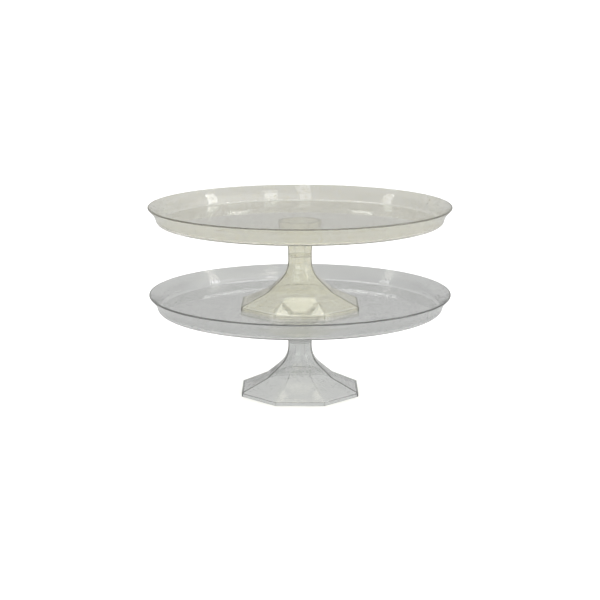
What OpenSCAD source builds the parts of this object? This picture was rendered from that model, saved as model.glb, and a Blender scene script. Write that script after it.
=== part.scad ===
// Two-tier cake stand in clear plastic: two alike pedestal stands, the upper one standing on the
// lower one's tray. Each stand is a round tray with a flared rim, plugged into the eight-sided
// collar of a hollow pedestal. Millimetres, +Z up, origin on the table under the centre.

/* [Tray] */
// Diameter across the tray's rim
tray_d = 305; // [260:5:360]
// Height of the tray from its underside to its rim
tray_h = 17.6; // [17:0.2:24]
// Thickness of the tray's floor and wall
tray_wall = 2; // [1.6:0.1:2.6]
// Width of the band between the flat floor's edge and the rim, seen from above
tray_flare = 12.8; // [12:0.2:13.4]
// Outside radius of the corner between floor and wall
tray_corner = 5; // [4:0.5:6]
// Lean of the tray's wall from upright
wall_lean = 14; // [12:1:18]
// Lean of the flared rim from upright
rim_lean = 42; // [38:1:46]
// Outside radius of the bend from wall to rim
rim_bend = 16; // [8:1:18]

/* [Pedestal] */
// Height of the pedestal from the table to the top of its collar
pedestal_h = 86.6; // [84:0.2:110]
// Width across the flats of the eight-sided foot
foot_w = 118; // [100:1:130]
// Height of the foot's upright skirt
skirt_h = 4; // [2:0.5:6]
// Width across the flats where the foot's shallow slope meets the steep stem
break_w = 66.8; // [60:0.2:74]
// Height of that break above the table
break_h = 16.6; // [14:0.2:20]
// Width across the flats of the narrow neck
neck_w = 24; // [20:0.5:28]
// Height at which the neck starts to widen downwards
neck_low = 47.7; // [44:0.1:50]
// Height at which the neck starts to widen upwards
neck_high = 59.2; // [56:0.1:60]
// Radius of the curve from the neck down into the stem
stem_bend = 27; // [24:0.5:30]
// Lean of the stem from upright below that curve
stem_lean = 47.7; // [44:0.1:50]
// Radius of the curve from the neck up into the cup
cup_bend = 20; // [16:0.5:22]
// Lean of the cup's side from upright
cup_lean = 32; // [28:0.5:34]
// Width across the flats of the collar at its mouth
collar_w = 43.2; // [42:0.2:46]
// Height of the collar
collar_h = 8.6; // [7:0.2:9]
// Narrowing of the collar from its mouth down to the cup, on each side
collar_draft = 0.7; // [0:0.1:1]
// Thickness of the pedestal's wall and of the web that closes the neck
pedestal_wall = 1.8; // [1.4:0.1:2]
// Height of the web's middle above the table
web_h = 52.7; // [51:0.1:55]

/* [Plug] */
// Length of the plug under the tray that enters the collar
plug_h = 6; // [4:0.5:6]
// Gap on each side between the plug and the collar's bore
plug_gap = 0.3; // [0.2:0.05:0.5]
// Thickness of the plug's wall
plug_wall = 1.6; // [1.2:0.1:2]

/* [Colours] */
// Tint of the upper stand
upper_tint = "khaki"; // [khaki, wheat, gainsboro]
// Tint of the lower stand
lower_tint = "lightgray"; // [lightgray, silver, gainsboro]

/* [Hidden] */
sides = 8;
flat_turn = 180 / sides;
// A corner of the section is this many times further out than a flat.
corner_share = 1 / cos(flat_turn);
round_fn = 180;
arc_steps = 8;
cut = 1;

rim_r = tray_d / 2;
floor_r = rim_r - tray_flare;
// The upper stand's foot rests on the lower tray's floor.
tier_rise = pedestal_h + tray_wall;
// The collar's bore is straight inside its drafted outside.
bore_w = collar_w - 2 * collar_draft - 2 * pedestal_wall;
plug_w = bore_w - 2 * plug_gap;

// Points on an arc about c from angle a0 to angle a1, and a path in the other order.
function arc(c, r, a0, a1) =
    [for (i = [0:arc_steps]) let (a = a0 + (a1 - a0) * i / arc_steps) c + r * [cos(a), sin(a)]];
function reversed(path) = [for (i = [len(path) - 1:-1:0]) path[i]];

// The tray's wall: a corner from the floor, a straight wall, a bend outwards to the flared rim.
corner_c = [floor_r, tray_corner];
corner_end = corner_c + tray_corner * [cos(wall_lean), -sin(wall_lean)];
// The rim ends in a half round about this point.
rim_c = [rim_r - tray_wall / 2, tray_h - tray_wall / 2];
rim_start = rim_c + tray_wall / 2 * [cos(rim_lean), -sin(rim_lean)];
// The bend touches both straight stretches. They cross at the point below.
crossing_rise = (rim_start[0] - corner_end[0] - (rim_start[1] - corner_end[1]) * tan(rim_lean))
    / (tan(wall_lean) - tan(rim_lean));
crossing = corner_end + crossing_rise * [tan(wall_lean), 1];
bend_reach = rim_bend * tan((rim_lean - wall_lean) / 2);
bend_c = crossing - bend_reach * [sin(wall_lean), cos(wall_lean)]
    + rim_bend * [cos(wall_lean), -sin(wall_lean)];

// The outside skin from floor to rim, and the same moved t inwards.
function tray_skin(t) = concat(
    arc(corner_c, tray_corner - t, -90, -wall_lean),
    arc(bend_c, rim_bend + t, 180 - wall_lean, 180 - rim_lean));

module tray_shell() {
    rotate_extrude($fn = round_fn)
        polygon(concat(
            [[0, 0]],
            tray_skin(0),
            arc(rim_c, tray_wall / 2, -rim_lean, 180 - rim_lean),
            reversed(tray_skin(tray_wall)),
            [[0, tray_wall]]));
}

// A prism of the eight-sided section, w across its flats, with a flat facing each axis.
module eight_sided(w, h) {
    rotate([0, 0, flat_turn])
        cylinder(r = w / 2 * corner_share, h = h, $fn = sides);
}

module eight_sided_ring(w, wall, h) {
    difference() {
        eight_sided(w, h);
        translate([0, 0, -cut]) eight_sided(w - 2 * wall, h + 2 * cut);
    }
}

module tray() {
    tray_shell();
    translate([0, 0, -plug_h]) eight_sided_ring(plug_w, plug_wall, plug_h);
}

// The pedestal's outside above its skirt, as half widths across the flats and heights.
function stem_side() = concat(
    [[foot_w / 2, skirt_h], [break_w / 2, break_h]],
    reversed(arc([neck_w / 2 + stem_bend, neck_low], stem_bend, 180, 180 + stem_lean)));
function cup_side() = concat(
    arc([neck_w / 2 + cup_bend, neck_high], cup_bend, 180, 180 - cup_lean),
    [[collar_w / 2 - collar_draft, pedestal_h - collar_h]]);

// A path moved t to its left, square to itself.
function left_of(a, b) = [a[1] - b[1], b[0] - a[0]] / norm(b - a);
function inset(path, t) = [for (i = [0:len(path) - 1])
    let (
        before = left_of(path[max(i, 1) - 1], path[max(i, 1)]),
        after = left_of(path[min(i, len(path) - 2)], path[min(i, len(path) - 2) + 1]),
        middle = (before + after) / norm(before + after))
    path[i] + middle * t / (middle * before)];
// The points of a path between two heights.
function between(path, low, high) = [for (p = path) if (p[1] > low && p[1] < high) p];

module pedestal_shell() {
    web_low = web_h - pedestal_wall / 2;
    web_top = web_h + pedestal_wall / 2;
    neck_in = neck_w / 2 - pedestal_wall;
    collar_low = pedestal_h - collar_h;
    hollow = between(inset(stem_side(), pedestal_wall), skirt_h, web_low);
    cup = between(inset(cup_side(), pedestal_wall), web_top, collar_low);
    half_section = concat(
        stem_side(),
        cup_side(),
        [[collar_w / 2, pedestal_h], [bore_w / 2, pedestal_h], [bore_w / 2, collar_low]],
        reversed(cup),
        [[neck_in, web_top], [0, web_top], [0, web_low], [neck_in, web_low]],
        reversed(hollow),
        [[foot_w / 2 - pedestal_wall, skirt_h]]);
    rotate([0, 0, flat_turn])
        rotate_extrude($fn = sides)
            polygon([for (p = half_section) [p[0] * corner_share, p[1]]]);
}

module pedestal() {
    pedestal_shell();
    eight_sided_ring(foot_w, pedestal_wall, skirt_h);
}

module lower_pedestal() { color(lower_tint) pedestal(); }
module lower_tray() { color(lower_tint) translate([0, 0, pedestal_h]) tray(); }
module upper_pedestal() { color(upper_tint) translate([0, 0, tier_rise]) pedestal(); }
module upper_tray() { color(upper_tint) translate([0, 0, tier_rise + pedestal_h]) tray(); }

lower_pedestal();
lower_tray();
upper_pedestal();
upper_tray();
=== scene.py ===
import math
import bpy
import numpy as np
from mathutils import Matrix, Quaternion, Vector


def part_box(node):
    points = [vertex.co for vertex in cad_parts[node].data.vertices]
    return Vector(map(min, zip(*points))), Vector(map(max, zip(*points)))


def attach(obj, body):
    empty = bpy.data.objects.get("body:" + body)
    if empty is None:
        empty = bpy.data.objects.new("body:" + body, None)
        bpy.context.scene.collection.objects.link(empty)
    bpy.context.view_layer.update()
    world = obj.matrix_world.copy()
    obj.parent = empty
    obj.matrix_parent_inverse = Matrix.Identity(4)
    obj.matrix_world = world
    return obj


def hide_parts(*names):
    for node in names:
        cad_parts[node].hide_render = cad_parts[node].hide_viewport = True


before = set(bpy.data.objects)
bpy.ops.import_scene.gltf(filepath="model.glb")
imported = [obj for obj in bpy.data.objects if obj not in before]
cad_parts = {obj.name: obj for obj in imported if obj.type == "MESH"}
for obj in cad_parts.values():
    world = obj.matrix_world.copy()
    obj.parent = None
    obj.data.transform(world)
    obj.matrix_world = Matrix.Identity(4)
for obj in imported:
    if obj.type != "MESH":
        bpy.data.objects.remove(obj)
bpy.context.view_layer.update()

# The clear plastic pieces replace the CAD nodes. Each is one closed shell with its real wall
# thickness, because that is what bends the light at its rim, its corners and its ridges.

MM = 0.001
SIDES = 8
SIDE_TURN = 2 * math.pi / SIDES
CORNER_SHARE = 1 / math.cos(SIDE_TURN / 2)
TOUCH_GAP = 0.06 * MM            # air left between faces that rest on each other

# Sizes in the frame.
TRAY_LOW, TRAY_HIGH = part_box("lower_tray")
FOOT_LOW, FOOT_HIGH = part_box("lower_pedestal")
UPPER_LOW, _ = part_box("upper_pedestal")
RIM_R = min(TRAY_HIGH.x - TRAY_LOW.x, TRAY_HIGH.y - TRAY_LOW.y) / 2
PEDESTAL_H = FOOT_HIGH.z - FOOT_LOW.z
FOOT_HALF = (FOOT_HIGH.x - FOOT_LOW.x) / 2
TIER_RISE = UPPER_LOW.z - FOOT_LOW.z
TRAY_WALL = TIER_RISE - PEDESTAL_H
TRAY_H = TRAY_HIGH.z - PEDESTAL_H
PLUG_H = PEDESTAL_H - TRAY_LOW.z

# The tray's outline.
TRAY_FLARE = 12.8 * MM
TRAY_CORNER = 5 * MM
WALL_LEAN = math.radians(14)
RIM_LEAN = math.radians(42)
RIM_BEND = 16 * MM

# The pedestal's outline.
SKIRT_H = 4 * MM
BREAK_HALF = 33.4 * MM
BREAK_H = 16.6 * MM
NECK_HALF = 12 * MM
STEM_LEAN = math.radians(47.7)
STEM_BEND = 27 * MM
CUP_LEAN = math.radians(32)
CUP_BEND = 20 * MM
COLLAR_HALF = 21.6 * MM
COLLAR_H = 8.6 * MM
COLLAR_DRAFT = 0.7 * MM
PEDESTAL_WALL = 1.8 * MM
WEB_H = 52.7 * MM
BORE_HALF = COLLAR_HALF - COLLAR_DRAFT - PEDESTAL_WALL
PLUG_GAP = 0.3 * MM
PLUG_WALL = 1.6 * MM

RIDGE_ROUND = 1.2 * MM           # round on the eight upright ridges
EDGE_ROUND = 0.35 * MM           # round on the pieces' small edges
SKIRT_ROUND = 0.3 * MM           # round along the top of the skirt
HOLLOW_ROUND = 2.0 * MM          # least round inside the hollow, as behind the skirt's top
BREAK_ROUND = 0.4 * MM           # round where the foot's slope turns up into the stem
TIP_ROUND = TRAY_WALL / 2.02     # round on each side of the rim's edge, a hair under half the wall

ARC_STEP = 4                     # most degrees between two points on an outline's arc
ARC_POINTS = 5                   # fewest points on such an arc
TRAY_SAMPLES = 40                # samples round a tray, for each of the eight corners
PEDESTAL_SAMPLES = 8             # and round a pedestal

# The plastic.
PLASTIC_IOR = 1.56
CLEARNESS = 0.96                 # share of light that goes through; the rest is haze
MILKINESS = 8.0                  # scatter in the plastic's depth, per metre
ABSORPTION = 20                  # light taken off in its depth, per metre
FLAKES_PER_METRE = 1000
CLOUDS_PER_METRE = 160
FLAKE_SHARE = 0.15               # share of the cells that hold a flake
FLAKE_TILT = 0.22                # spread of the flakes' tilt, as a share of the normal's length
CLOUD_LEVELS = (0.3, 0.7)        # noise where the glitter is thinnest and thickest
CLOUD_SHARES = (0.4, 1.6)        # what the flakes' share is multiplied by there
CLEAR_ROUGHNESS = 0.02
FLAKE_ROUGHNESS = 0.15
GOLD_TINT = (0.975, 0.972, 0.915)
GOLD_FLAKE = (0.93, 0.9, 0.74)
GOLD_DEPTH = (0.95, 0.9, 0.7)
SILVER_TINT = (0.83, 0.837, 0.832)
SILVER_FLAKE = (0.78, 0.79, 0.78)
SILVER_DEPTH = (0.82, 0.83, 0.81)

# The stage. Levels are of light, with 1 as white.
FLOOR_HALF = 40.0                # half the floor's width
FLOOR_DROP = 0.2 * MM            # air under the foot
FIBRES_PER_METRE = 400.0
PAPER = 0.95
PAPER_DARK = 0.98                # share of PAPER in the darkest fibres
PAINTED_SHADE_THROUGH = 0.1              # the paper's colour as the plastic shows it, a painted shade: a dark copy of the paper
PAINTED_GLOW_CENTRE = 0.59              # the floor's painted glow as the plastic shows it, under the stand, a painted pool of light
PAINTED_GLOW_FAR = 0.46                # and far from it
PAINTED_GLOW_FADE = (0.12, 0.45)        # distances between which the one turns into the other
BACKDROP = 1.3
STUDIO_LEFT = 0.15
STUDIO_RIGHT = 1.2
STUDIO_BACK = 0.5
STUDIO_SIDES = 0.05
STUDIO_HIGH = 0.25
# How far a direction points right, up, aside or back where the studio turns to its next level.
RIGHT_FADE = (-0.8, 0.8)
HIGH_FADE = (0.5, 0.95)
ASIDE_FADE = (0.6, 0.85)
BACK_FADE = (-0.3, 0.5)

# Soft lights: name, place, where each is aimed, width, height, glow, and roll in degrees.
STAND_MIDDLE = (0, 0, 0.15)
OVER_STAND = (0, 0, 0.7)
LAMPS = (
    ("overhead", (0, 0.75, 1.6), STAND_MIDDLE, 1.1, 0.7, 3.2, 0),
    ("left_low", (-1.5, -0.12, 0.85), (0, -0.12, 0.85), 0.28, 0.97, 2.0, 21),
    ("left_high", (-1.5, 0.39, 1.75), (0, 0.39, 1.75), 0.28, 1.12, 2.0, 37),
    ("right_low", (1.5, -0.12, 0.85), (0, -0.12, 0.85), 0.28, 0.97, 3.0, -21),
    ("right_high", (1.5, 0.39, 1.75), (0, 0.39, 1.75), 0.28, 1.12, 3.0, -37),
    ("window", (-0.2, -2.4, 1.3), OVER_STAND, 0.46, 1.8, 1.3, 0),
    ("window_top", (-0.11, -1.0, 2.1), STAND_MIDDLE, 0.28, 1.4, 1.6, 0),
    ("side_window", (0.93, -1.82, 1.39), STAND_MIDDLE, 0.42, 1.4, 2.1, -7),
    ("side_window_top", (0.72, -0.97, 2.17), STAND_MIDDLE, 0.35, 1.2, 1.3, -20),
)

# The camera and the light's path.
CAMERA_DISTANCE = 1.5
CAMERA_H = 0.415
CAMERA_AIM_H = 0.095
SENSOR_W = 36
RIM_SHARE = 0.5                  # share of the picture's width that a tray fills
BOUNCES = 32


def between(start, end, share):
    """Directions turned evenly from start to end: (sin((1-s)w) start + sin(s w) end) / sin w,
    where w is the angle between them and s runs over share."""
    w = math.acos(max(-1.0, min(1.0, float(np.dot(start, end)))))
    s = share[:, None]
    return (np.sin((1 - s) * w) * start + np.sin(s * w) * end) / math.sin(w)


def filleted(corners):
    """Points and directions along an outline of straight stretches with round corners. Each
    corner is (half width, height, radius). At a corner with unit directions u in and v out, the
    arc's centre is corner + (v - u) r / sin(w), where w is the turn between u and v."""
    path = np.array([c[:2] for c in corners], float)
    points = [path[:1]]
    towards = [(path[1:2] - path[:1]) / np.linalg.norm(path[1] - path[0])]
    for i in range(1, len(corners) - 1):
        u = (path[i] - path[i - 1]) / np.linalg.norm(path[i] - path[i - 1])
        v = (path[i + 1] - path[i]) / np.linalg.norm(path[i + 1] - path[i])
        turn = math.acos(max(-1.0, min(1.0, float(u @ v))))
        radius = corners[i][2]
        steps = max(ARC_POINTS, math.ceil(math.degrees(turn) / ARC_STEP) + 1)
        share = np.linspace(0, 1, steps)
        centre = path[i] + (v - u) * radius / math.sin(turn)
        reach = radius * math.tan(turn / 2)
        start = (path[i] - u * reach - centre) / radius
        end = (path[i] + v * reach - centre) / radius
        points.append(centre + radius * between(start, end, share))
        towards.append(between(u, v, share))
    points.append(path[-1:])
    towards.append((path[-1:] - path[-2:-1]) / np.linalg.norm(path[-1] - path[-2]))
    return np.concatenate(points), np.concatenate(towards)


def inset(corners, wall, least=EDGE_ROUND):
    """An outline's straight stretches moved to their left by the wall, crossing again at
    corner + wall (l + m) / (1 + l . m), with l and m the left normals before and after. A corner
    that turns left keeps its arc's centre, so its radius shrinks by the wall, and others grow."""
    path = np.array([c[:2] for c in corners], float)
    step = np.diff(path, axis=0)
    left = np.stack([-step[:, 1], step[:, 0]], 1) / np.linalg.norm(step, axis=1)[:, None]
    moved = []
    for i in range(1, len(corners) - 1):
        l, m = left[i - 1], left[i]
        turns_left = step[i - 1][0] * step[i][1] - step[i - 1][1] * step[i][0] > 0
        radius = max(least, corners[i][2] + (-wall if turns_left else wall))
        place = path[i] + wall * (l + m) / (1 + l @ m)
        moved.append((place[0], place[1], radius))
    return moved


def carried_round(name, corners, roundness, per_corner, base):
    """A closed shell. The outline is carried round the axis on eight corner arcs:
    place = (h - q) / cos(22.5 deg) (cos g, sin g) + q (cos f, sin f), where h is the half width,
    q the corner rounding, g the corner's direction and f runs 22.5 deg to each side of it. q = h
    is a circle, and a small q a round-cornered octagon. roundness gives q from h. Both ends of
    the outline lie on the axis, where a fan closes the shell."""
    points, towards = filleted(corners)
    half, height = points[1:-1, :1], points[1:-1, 1:]
    run, rise = towards[1:-1, :1], towards[1:-1, 1:]
    rounding, rounding_rate = roundness(half)
    sample = (np.arange(SIDES * per_corner) + 0.5) / per_corner
    f = sample[None, :] * SIDE_TURN
    g = (np.floor(sample)[None, :] + 0.5) * SIDE_TURN
    x = (half - rounding) * CORNER_SHARE * np.cos(g) + rounding * np.cos(f)
    y = (half - rounding) * CORNER_SHARE * np.sin(g) + rounding * np.sin(f)
    z = np.broadcast_to(height, x.shape)
    rings = np.stack([x, y, z], -1)
    # The normal is square to the ring and to the outline's own direction.
    lift = -run * ((1 - rounding_rate) * np.cos(f - g) * CORNER_SHARE + rounding_rate)
    normals = np.stack([rise * np.cos(f), rise * np.sin(f), lift], -1)
    normals /= np.linalg.norm(normals, axis=-1, keepdims=True)
    poles = np.array([[0, 0, points[0, 1]], [0, 0, points[-1, 1]]])
    verts = np.concatenate([poles[:1], rings.reshape(-1, 3), poles[1:]])
    verts[:, 2] += base
    pole_normals = np.array([[0, 0, -towards[0, 0]], [0, 0, -towards[-1, 0]]])
    vert_normals = np.concatenate([pole_normals[:1], normals.reshape(-1, 3), pole_normals[1:]])

    count, around = x.shape
    m = np.arange(around)
    nxt = (m + 1) % around
    k = np.arange(count - 1)[:, None] * around + 1
    quads = np.stack([k + m, k + nxt, k + around + nxt, k + around + m], -1).reshape(-1, 4)
    first = np.stack([np.zeros_like(m), nxt + 1, m + 1], -1)
    top = 1 + (count - 1) * around
    last = np.stack([top + m, top + nxt, np.full_like(m, len(verts) - 1)], -1)
    mesh = bpy.data.meshes.new(name)
    mesh.from_pydata(verts.tolist(), [], [*first.tolist(), *quads.tolist(), *last.tolist()])
    mesh.polygons.foreach_set("use_smooth", np.ones(len(mesh.polygons), bool))
    mesh.normals_split_custom_set_from_vertices(vert_normals.tolist())
    mesh.update()
    piece = bpy.data.objects.new(name, mesh)
    bpy.context.scene.collection.objects.link(piece)
    return piece


def tray_outline():
    """Corners of the tray's outline, from the middle of its underside, round the plug and the
    wall's outside, over the rim and back along the inside to the middle of the floor."""
    plug_out = BORE_HALF - PLUG_GAP
    plug_in = plug_out - PLUG_WALL
    wall_up = np.array([math.sin(WALL_LEAN), math.cos(WALL_LEAN)])
    rim_up = np.array([math.sin(RIM_LEAN), math.cos(RIM_LEAN)])
    foot = np.array([RIM_R - TRAY_FLARE + TRAY_CORNER * math.tan((math.pi / 2 - WALL_LEAN) / 2), 0])
    # The rim's half round touches the widest circle and the top plane.
    middle = np.array([RIM_R, TRAY_H]) - TRAY_WALL / 2
    outer = middle + TRAY_WALL / 2 * np.array([rim_up[1], -rim_up[0]])
    # The wall from foot and the rim from outer cross where both reach.
    reach = np.linalg.solve(np.stack([wall_up, rim_up], 1), outer - foot)[0]
    bend = foot + reach * wall_up
    tip_out = outer + TRAY_WALL / 2 * rim_up
    tip_in = tip_out + TRAY_WALL * np.array([-rim_up[1], rim_up[0]])
    skin = [(0, 0, 0), (*foot, TRAY_CORNER), (*bend, RIM_BEND), (*tip_out, 0)]
    inside = inset(skin, TRAY_WALL)
    return [
        (0, 0, 0),
        (plug_in, 0, EDGE_ROUND),
        (plug_in, -PLUG_H, EDGE_ROUND),
        (plug_out, -PLUG_H, EDGE_ROUND),
        (plug_out, 0, EDGE_ROUND),
        *skin[1:3],
        (*tip_out, TIP_ROUND),
        (*tip_in, TIP_ROUND),
        *inside[::-1],
        (0, TRAY_WALL, 0),
    ]


def pedestal_outline():
    """Corners of the pedestal's outline, from the middle of the web's underside, down the inside
    of the hollow, round the skirt, up the outside to the collar and down the cup to the web."""
    stem_low = BREAK_H + (BREAK_HALF - NECK_HALF) / math.tan(STEM_LEAN)
    collar_low = PEDESTAL_H - COLLAR_H
    cup_low = collar_low - (COLLAR_HALF - COLLAR_DRAFT - NECK_HALF) / math.tan(CUP_LEAN)
    foot, top = TOUCH_GAP, PEDESTAL_H - TOUCH_GAP
    outside = [
        (FOOT_HALF, foot, EDGE_ROUND),
        (FOOT_HALF, SKIRT_H, SKIRT_ROUND),
        (BREAK_HALF, BREAK_H, BREAK_ROUND),
        (NECK_HALF, stem_low, STEM_BEND),
        (NECK_HALF, cup_low, CUP_BEND),
        (COLLAR_HALF - COLLAR_DRAFT, collar_low, EDGE_ROUND * 2),
        (COLLAR_HALF, top, EDGE_ROUND),
    ]
    hollow = inset(outside[:5], PEDESTAL_WALL, HOLLOW_ROUND)
    cup = inset(outside[3:6], PEDESTAL_WALL)
    neck_in = NECK_HALF - PEDESTAL_WALL
    web_low, web_top = WEB_H - PEDESTAL_WALL / 2, WEB_H + PEDESTAL_WALL / 2
    return [
        (0, web_low, 0),
        (neck_in, web_low, EDGE_ROUND),
        *hollow[::-1],
        (FOOT_HALF - PEDESTAL_WALL, foot, EDGE_ROUND),
        *outside,
        (BORE_HALF, top, EDGE_ROUND),
        (BORE_HALF, collar_low, EDGE_ROUND * 2),
        *cup,
        (neck_in, web_top, EDGE_ROUND),
        (0, web_top, 0),
    ]


def tray_roundness(half):
    """A circle outside twice the bore's width, and the octagon's small rounding inside it. The
    second value is how fast the rounding grows with the half width."""
    circle = half > 2 * BORE_HALF
    return np.where(circle, half, RIDGE_ROUND), circle.astype(float)


def pedestal_roundness(half):
    """The same small rounding all the way up, so that it doesn't grow."""
    return np.full_like(half, RIDGE_ROUND), np.zeros_like(half)


def node(tree, kind, **values):
    """A shader node with its named input values set, or its own settings where it has no such
    input."""
    made = tree.nodes.new(kind)
    for key, value in values.items():
        if key in made.inputs:
            made.inputs[key].default_value = value
        else:
            setattr(made, key, value)
    return made


def blend(tree, kind, share, first, second):
    """A mix of two values or two colours by a share. Each may be a socket or a plain value."""
    mix = node(tree, "ShaderNodeMix", data_type=kind)
    ends = [s for s in mix.inputs if s.type == ("VALUE" if kind == "FLOAT" else kind)]
    if kind == "FLOAT":
        ends = ends[1:]
    for end, given in ((mix.inputs[0], share), (ends[0], first), (ends[1], second)):
        if isinstance(given, bpy.types.NodeSocket):
            tree.links.new(given, end)
        else:
            end.default_value = given
    return [s for s in mix.outputs if s.enabled][0]


def ramp(tree, value, limits):
    """How far a value has come from the first limit to the second, from 0 to 1."""
    made = node(tree, "ShaderNodeMapRange", **{"From Min": limits[0], "From Max": limits[1]})
    tree.links.new(value, made.inputs["Value"])
    return made.outputs["Result"]


def glitter_group():
    """Glitter moulded into plastic, as a group of shader nodes. The plastic is divided into small
    cells. A cell holds a flake where its own random number is under Share, which clouds a few
    millimetres across make larger and smaller. A flake has its own colour and roughness and tips
    the surface by up to half of Tilt each way."""
    group = bpy.data.node_groups.new("moulded_glitter", "ShaderNodeTree")
    face = group.interface
    for name, kind in (("Flakes per Metre", "NodeSocketFloat"), ("Clouds per Metre", "NodeSocketFloat"),
                       ("Share", "NodeSocketFloat"), ("Tilt", "NodeSocketFloat"),
                       ("Clear Color", "NodeSocketColor"), ("Flake Color", "NodeSocketColor"),
                       ("Clear Roughness", "NodeSocketFloat"),
                       ("Flake Roughness", "NodeSocketFloat")):
        face.new_socket(name, in_out="INPUT", socket_type=kind)
    face.new_socket("Color", in_out="OUTPUT", socket_type="NodeSocketColor")
    face.new_socket("Roughness", in_out="OUTPUT", socket_type="NodeSocketFloat")
    face.new_socket("Normal", in_out="OUTPUT", socket_type="NodeSocketVector")
    given = node(group, "NodeGroupInput").outputs
    result = node(group, "NodeGroupOutput").inputs
    link = group.links.new
    where = node(group, "ShaderNodeTexCoord").outputs["Object"]

    cells = node(group, "ShaderNodeTexVoronoi")
    link(where, cells.inputs["Vector"])
    link(given["Flakes per Metre"], cells.inputs["Scale"])
    chance = node(group, "ShaderNodeTexWhiteNoise")
    link(cells.outputs["Position"], chance.inputs["Vector"])
    clouds = node(group, "ShaderNodeTexNoise", Detail=2.0)
    link(where, clouds.inputs["Vector"])
    link(given["Clouds per Metre"], clouds.inputs["Scale"])
    crowd = node(group, "ShaderNodeMapRange", **{
        "From Min": CLOUD_LEVELS[0], "From Max": CLOUD_LEVELS[1],
        "To Min": CLOUD_SHARES[0], "To Max": CLOUD_SHARES[1]})
    link(clouds.outputs[0], crowd.inputs["Value"])
    limit = node(group, "ShaderNodeMath", operation="MULTIPLY")
    link(crowd.outputs["Result"], limit.inputs[0])
    link(given["Share"], limit.inputs[1])
    flake = node(group, "ShaderNodeMath", operation="LESS_THAN")
    link(chance.outputs["Value"], flake.inputs[0])
    link(limit.outputs[0], flake.inputs[1])

    # A cell's random colour, taken from its middle, is the way its flake leans.
    lean = node(group, "ShaderNodeVectorMath", operation="SUBTRACT")
    link(cells.outputs["Color"], lean.inputs[0])
    lean.inputs[1].default_value = (0.5, 0.5, 0.5)
    amount = node(group, "ShaderNodeMath", operation="MULTIPLY")
    link(flake.outputs[0], amount.inputs[0])
    link(given["Tilt"], amount.inputs[1])
    tip = node(group, "ShaderNodeVectorMath", operation="SCALE")
    link(lean.outputs[0], tip.inputs[0])
    link(amount.outputs[0], tip.inputs["Scale"])
    tipped = node(group, "ShaderNodeVectorMath", operation="ADD")
    link(node(group, "ShaderNodeNewGeometry").outputs["Normal"], tipped.inputs[0])
    link(tip.outputs[0], tipped.inputs[1])
    unit = node(group, "ShaderNodeVectorMath", operation="NORMALIZE")
    link(tipped.outputs[0], unit.inputs[0])

    link(blend(group, "RGBA", flake.outputs[0], given["Clear Color"], given["Flake Color"]),
         result["Color"])
    link(blend(group, "FLOAT", flake.outputs[0], given["Clear Roughness"],
               given["Flake Roughness"]), result["Roughness"])
    link(unit.outputs[0], result["Normal"])
    return group


def clear_plastic(name, glitter, tint, flake, absorb):
    """Clear plastic with glitter moulded in: glass of the plastic's own refraction with a faint
    haze, which takes off some light in its depth and scatters a little. Shadow rays pass through,
    dimmed by the tint."""
    mat = bpy.data.materials.new(name)
    mat.use_nodes = True
    tree = mat.node_tree
    tree.nodes.clear()
    link = tree.links.new
    out = node(tree, "ShaderNodeOutputMaterial")
    flakes = tree.nodes.new("ShaderNodeGroup")
    flakes.node_tree = glitter
    for key, value in (("Flakes per Metre", FLAKES_PER_METRE), ("Clouds per Metre", CLOUDS_PER_METRE),
                       ("Share", FLAKE_SHARE), ("Tilt", FLAKE_TILT),
                       ("Clear Color", (*tint, 1)), ("Flake Color", (*flake, 1)),
                       ("Clear Roughness", CLEAR_ROUGHNESS), ("Flake Roughness", FLAKE_ROUGHNESS)):
        flakes.inputs[key].default_value = value
    plastic = node(tree, "ShaderNodeBsdfPrincipled", IOR=PLASTIC_IOR, Metallic=0.0,
                   **{"Transmission Weight": CLEARNESS})
    link(flakes.outputs["Color"], plastic.inputs["Base Color"])
    link(flakes.outputs["Roughness"], plastic.inputs["Roughness"])
    link(flakes.outputs["Normal"], plastic.inputs["Normal"])
    clear = node(tree, "ShaderNodeBsdfTransparent", Color=(*tint, 1))
    path = node(tree, "ShaderNodeLightPath")
    mix = node(tree, "ShaderNodeMixShader")
    link(path.outputs["Is Shadow Ray"], mix.inputs["Fac"])
    link(plastic.outputs["BSDF"], mix.inputs[1])
    link(clear.outputs["BSDF"], mix.inputs[2])
    link(mix.outputs["Shader"], out.inputs["Surface"])
    depth = node(tree, "ShaderNodeVolumeAbsorption", Color=(*absorb, 1), Density=ABSORPTION)
    glow = node(tree, "ShaderNodeVolumeScatter", Color=(*flake, 1), Density=MILKINESS)
    both = node(tree, "ShaderNodeAddShader")
    link(depth.outputs["Volume"], both.inputs[0])
    link(glow.outputs["Volume"], both.inputs[1])
    link(both.outputs["Shader"], out.inputs["Volume"])
    return mat


def build_stand(tier, base, material):
    """One stand's two mouldings, riding on their bodies."""
    tray = carried_round(f"{tier}_tray_shell", tray_outline(), tray_roundness, TRAY_SAMPLES,
                         base + PEDESTAL_H)
    pedestal = carried_round(f"{tier}_pedestal_shell", pedestal_outline(), pedestal_roundness,
                             PEDESTAL_SAMPLES, base)
    for piece, part in ((tray, "tray"), (pedestal, "pedestal")):
        piece.data.materials.append(material)
        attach(piece, f"{tier}_{part}")
        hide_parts(f"{tier}_{part}")


def by_ray(tree, seen, mirrored):
    """A colour that is one thing for the camera and for light that has bounced off something dull
    on its way, and another for what the plastic mirrors or shows."""
    path = node(tree, "ShaderNodeLightPath")
    either = node(tree, "ShaderNodeMath", operation="MAXIMUM", use_clamp=True)
    tree.links.new(path.outputs["Is Camera Ray"], either.inputs[0])
    tree.links.new(path.outputs["Diffuse Depth"], either.inputs[1])
    return blend(tree, "RGBA", either.outputs[0], mirrored, seen)


def grey(level):
    """A neutral colour of one level."""
    return (level, level, level, 1)


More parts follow.
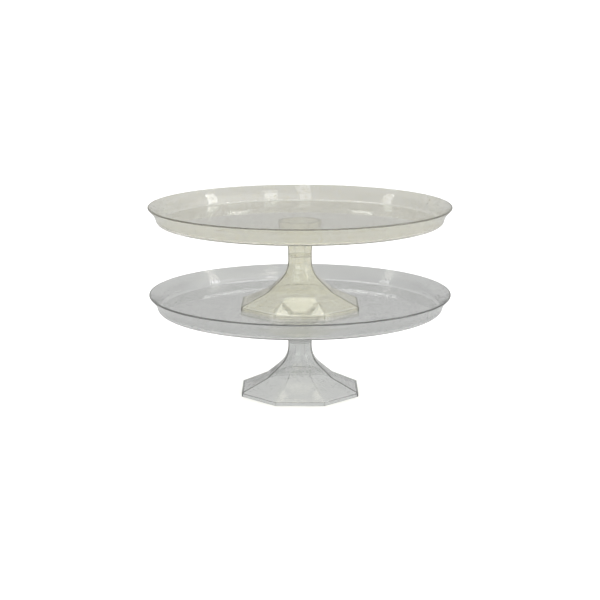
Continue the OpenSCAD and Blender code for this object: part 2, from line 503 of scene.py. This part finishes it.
def build_stage():
    """A pale paper floor that reaches past the camera's view. What the plastic shows of it is painted
    light: a dark copy of the paper that glows grey on its own, a little lighter under the stand as a
    painted pool of light."""
    mesh = bpy.data.meshes.new("floor")
    corners = [(FLOOR_HALF * x, FLOOR_HALF * y, 0) for x, y in ((-1, -1), (1, -1), (1, 1), (-1, 1))]
    mesh.from_pydata(corners, [], [(0, 1, 2, 3)])
    floor = bpy.data.objects.new("floor", mesh)
    bpy.context.scene.collection.objects.link(floor)
    floor.location.z = -FLOOR_DROP
    mat = bpy.data.materials.new("floor_paper_painted_glow")
    mat.use_nodes = True
    tree = mat.node_tree
    surface = tree.nodes["Principled BSDF"]
    surface.inputs["Roughness"].default_value = 1.0
    surface.inputs["Specular IOR Level"].default_value = 0.0
    # The floor glows on its own, but only for what the plastic shows: a painted glow, not a lamp.
    surface.inputs["Emission Strength"].default_value = 1.0
    where = node(tree, "ShaderNodeTexCoord").outputs["Object"]
    fibres = node(tree, "ShaderNodeTexNoise", Scale=FIBRES_PER_METRE, Detail=3.0)
    tree.links.new(where, fibres.inputs["Vector"])
    paper = blend(tree, "RGBA", fibres.outputs[0], grey(PAPER * PAPER_DARK), grey(PAPER))
    # The plastic sees a dark copy of the paper in place of the paper, a painted shade.
    tree.links.new(by_ray(tree, paper, grey(PAINTED_SHADE_THROUGH)), surface.inputs["Base Color"])
    # The painted glow is lighter near the stand's middle, a painted pool of light under it.
    reach = node(tree, "ShaderNodeVectorMath", operation="LENGTH")
    tree.links.new(where, reach.inputs[0])
    away = ramp(tree, reach.outputs["Value"], PAINTED_GLOW_FADE)
    painted_glow_colour = blend(tree, "RGBA", away, grey(PAINTED_GLOW_CENTRE), grey(PAINTED_GLOW_FAR))
    tree.links.new(by_ray(tree, grey(0), painted_glow_colour), surface.inputs["Emission Color"])
    mesh.materials.append(mat)


def build_world():
    """White where the camera looks past the stand and for the light on the floor. What the
    plastic mirrors is a softer studio: grey behind the stand and dark at its sides, lighter to the
    front's right than to its left, dim overhead."""
    world = bpy.data.worlds.new("studio")
    world.use_nodes = True
    bpy.context.scene.world = world
    tree = world.node_tree
    link = tree.links.new
    way = node(tree, "ShaderNodeSeparateXYZ")
    link(node(tree, "ShaderNodeTexCoord").outputs["Generated"], way.inputs[0])
    aside = node(tree, "ShaderNodeMath", operation="ABSOLUTE")
    link(way.outputs["X"], aside.inputs[0])
    right = ramp(tree, way.outputs["X"], RIGHT_FADE)
    high = ramp(tree, way.outputs["Z"], HIGH_FADE)
    wide = ramp(tree, aside.outputs[0], ASIDE_FADE)
    behind = ramp(tree, way.outputs["Y"], BACK_FADE)
    front = blend(tree, "RGBA", right, grey(STUDIO_LEFT), grey(STUDIO_RIGHT))
    front = blend(tree, "RGBA", high, front, grey(STUDIO_HIGH))
    back = blend(tree, "RGBA", wide, grey(STUDIO_BACK), grey(STUDIO_SIDES))
    studio = blend(tree, "RGBA", behind, front, back)
    link(by_ray(tree, grey(BACKDROP), studio), tree.nodes["Background"].inputs["Color"])


def softbox(name, place, target, width, height, glow, roll):
    """A rectangular soft light aimed at a point and rolled about its aim in degrees. Its power is
    glow x pi x its area."""
    data = bpy.data.lights.new(name, "AREA")
    data.shape = "RECTANGLE"
    data.size = width
    data.size_y = height
    data.energy = glow * math.pi * width * height
    lamp = bpy.data.objects.new(name, data)
    bpy.context.scene.collection.objects.link(lamp)
    lamp.location = place
    aim = (Vector(target) - Vector(place)).to_track_quat("-Z", "Y")
    lamp.rotation_euler = (aim @ Quaternion((0, 0, 1), math.radians(roll))).to_euler()


def build_light():
    """Soft light from above and behind, a tall slanted strip on each side, and two tall windows
    in front. Each strip and window is in two parts, the upper one carrying on overhead."""
    for lamp in LAMPS:
        softbox(*lamp)


def build_camera():
    """In front and above the upper tray, far enough away to flatten the rings, and aimed at the
    middle of the two stands."""
    data = bpy.data.cameras.new("camera")
    cam = bpy.data.objects.new("camera", data)
    bpy.context.scene.collection.objects.link(cam)
    cam.location = (0, -CAMERA_DISTANCE, CAMERA_H)
    aim = Vector((0, 0, CAMERA_AIM_H)) - cam.location
    cam.rotation_euler = aim.to_track_quat("-Z", "Y").to_euler()
    reach = math.hypot(CAMERA_DISTANCE, CAMERA_H - CAMERA_AIM_H)
    data.sensor_width = SENSOR_W
    data.lens = SENSOR_W * RIM_SHARE * reach / (2 * RIM_R)
    bpy.context.scene.camera = cam


glitter = glitter_group()
gold = clear_plastic("gold_clear", glitter, GOLD_TINT, GOLD_FLAKE, GOLD_DEPTH)
silver = clear_plastic("silver_clear", glitter, SILVER_TINT, SILVER_FLAKE, SILVER_DEPTH)
build_stand("lower", FOOT_LOW.z, silver)
build_stand("upper", UPPER_LOW.z, gold)
build_stage()
build_world()
build_light()
build_camera()

scene = bpy.context.scene
scene.view_settings.view_transform = "Standard"
scene.cycles.max_bounces = BOUNCES
scene.cycles.transmission_bounces = BOUNCES
scene.cycles.transparent_max_bounces = BOUNCES
scene.cycles.use_denoising = True
